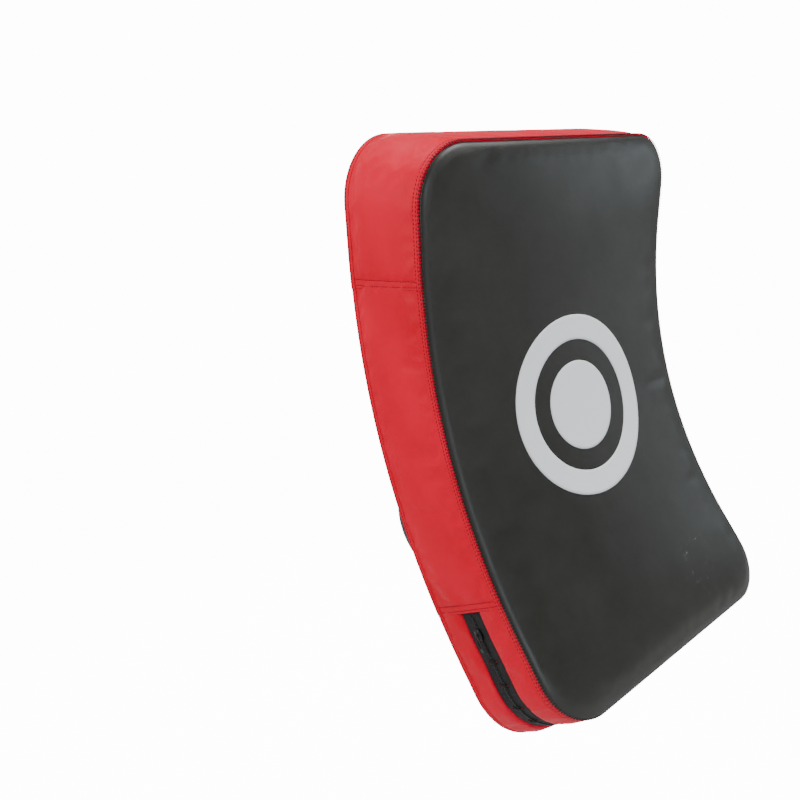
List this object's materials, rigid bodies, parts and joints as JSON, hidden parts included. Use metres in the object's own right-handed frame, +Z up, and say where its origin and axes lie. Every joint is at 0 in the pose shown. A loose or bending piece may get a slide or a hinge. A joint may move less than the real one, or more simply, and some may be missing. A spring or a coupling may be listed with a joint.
{
  "type": "curved kick and strike pad",
  "caption": "Curved foam strike pad: hollow black face with a round white target, zipped red gusset, sleeved grip handles and a carry handle on the back.",
  "frame": {"origin": "midway between the tops of the two grip handles, where the holder's hands are", "axes": "+Z up along the pad's length with the carry handle end on top, -Y out of the struck face, +Y out of the back, +X to the holder's left"},
  "size_m": [0.4042, 0.3035, 0.6916],
  "materials": {
    "black_leathercloth": "smooth satin coated leathercloth, black",
    "red_leathercloth": "smooth satin coated leathercloth, red",
    "white_print": "flexible white print on the cover",
    "red_thread": "polyester sewing thread, red",
    "black_thread": "polyester sewing thread, black",
    "zip_tape": "woven zip tape, black",
    "zip_plastic": "nylon coil and lacquered slider, black",
    "soft_foam": "soft closed-cell foam sheet",
    "firm_foam": "dense foam board",
    "back_foam": "closed-cell foam sheet",
    "handle_foam": "foam tube",
    "webbing": "rolled nylon webbing",
    "black_sleeve": "glossy black leathercloth sleeve",
    "black_nylon": "woven black nylon",
    "brass_rivet": "polished brass dome",
    "steel_washer": "plain steel"
  },
  "bodies": {
    "pad": {"front_panel": "black_leathercloth", "target_ring": "white_print", "target_disc": "white_print", "front_seam_strip": "red_leathercloth", "back_panel": "black_leathercloth", "top_cap_gusset": "red_leathercloth", "left_side_gusset": "red_leathercloth", "right_side_gusset": "red_leathercloth", "zip_gusset_front": "red_leathercloth", "zip_gusset_back": "red_leathercloth", "zip_tape_front": "zip_tape", "zip_tape_back": "zip_tape", "zip_coil": "zip_plastic", "zip_tacks": "black_thread", "strike_foam": "soft_foam", "core_foam": "firm_foam", "back_foam": "back_foam", "carry_band": "red_leathercloth", "upper_band": "red_leathercloth", "lower_band": "red_leathercloth", "left_handle_ends": "black_sleeve", "right_handle_ends": "black_sleeve", "carry_handle_ends": "black_sleeve", "carry_handle_patches": "black_nylon", "rivets": "brass_rivet", "rivet_washers": "steel_washer", "rim_stitching": "red_thread", "gusset_stitching": "red_thread", "band_stitching": "red_thread", "box_stitching": "red_thread"},
    "left_handle": {"left_handle_sleeve": "black_sleeve", "left_handle_foam": "handle_foam", "left_handle_webbing": "webbing"},
    "right_handle": {"right_handle_sleeve": "black_sleeve", "right_handle_foam": "handle_foam", "right_handle_webbing": "webbing"},
    "carry_handle": {"carry_handle_sleeve": "black_sleeve", "carry_handle_foam": "handle_foam", "carry_handle_webbing": "webbing"},
    "zip_slider": {"zip_slider": "zip_plastic", "zip_pull": "zip_plastic"}
  },
  "joints": [
    {"name": "left_handle_swing", "type": "hinge", "parent": "pad", "child": "left_handle", "pos_m": [0.115, -0.09558, 0.03771], "axis": [0, 0.1104, 0.9939], "range_deg": [-50, 50], "stiffness_Nm_per_rad": 0.6},
    {"name": "right_handle_swing", "type": "hinge", "parent": "pad", "child": "right_handle", "pos_m": [-0.115, -0.09558, 0.03771], "axis": [0, 0.1104, 0.9939], "range_deg": [-50, 50], "stiffness_Nm_per_rad": 0.6},
    {"name": "carry_handle_swing", "type": "hinge", "parent": "pad", "child": "carry_handle", "pos_m": [0, -0.11447, 0.33457], "axis": [1, 0, 0], "range_deg": [-50, 50], "stiffness_Nm_per_rad": 0.6},
    {"name": "zip_slide", "type": "slide", "parent": "pad", "child": "zip_slider", "axis": [0, 0.2977, 0.9547], "range_m": [-0.019, 0.011]}
  ]
}
